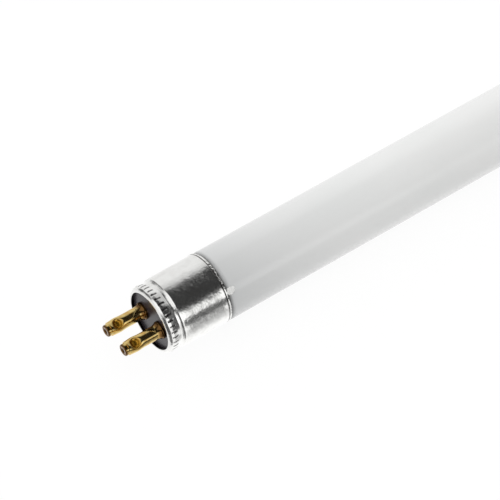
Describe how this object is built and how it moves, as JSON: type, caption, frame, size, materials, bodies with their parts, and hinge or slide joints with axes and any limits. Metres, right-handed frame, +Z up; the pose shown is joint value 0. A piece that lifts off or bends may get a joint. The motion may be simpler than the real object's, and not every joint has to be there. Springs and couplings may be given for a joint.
{
  "type": "fluorescent tube",
  "caption": "Slim straight fluorescent tube: a white coated glass tube with a rolled metal cap on each end, each with contact pins through an insulating disc.",
  "frame": {"origin": "middle of the tube, on its axis", "axes": "+X along the tube from cap a, the one that the picture shows, to cap b; the two pins of each cap lie side by side along Y; +Z is up"},
  "size_m": [0.22, 0.0122, 0.0122],
  "materials": {
    "coated_glass": "clear gloss glass over a white phosphor coat",
    "cap_metal": "bright rolled sheet",
    "disc_phenolic": "semi-gloss moulded phenolic",
    "pin_brass": "polished",
    "wire_metal": "drawn and plated",
    "cement": "matt set cement",
    "clear_cement": "clear glossy drop"
  },
  "bodies": {
    "root": {"glass_tube": "coated_glass", "cap_shell_a": "cap_metal", "cap_shell_b": "cap_metal", "insulator_disc_a": "disc_phenolic", "insulator_disc_b": "disc_phenolic", "contact_pin_a1": "pin_brass", "contact_pin_a2": "pin_brass", "contact_pin_b1": "pin_brass", "contact_pin_b2": "pin_brass", "lead_wire_a1": "wire_metal", "lead_wire_a2": "wire_metal", "lead_wire_b1": "wire_metal", "lead_wire_b2": "wire_metal", "cement_ring_a": "cement", "cement_ring_b": "cement", "cement_drop": "clear_cement"}
  },
  "joints": []
}
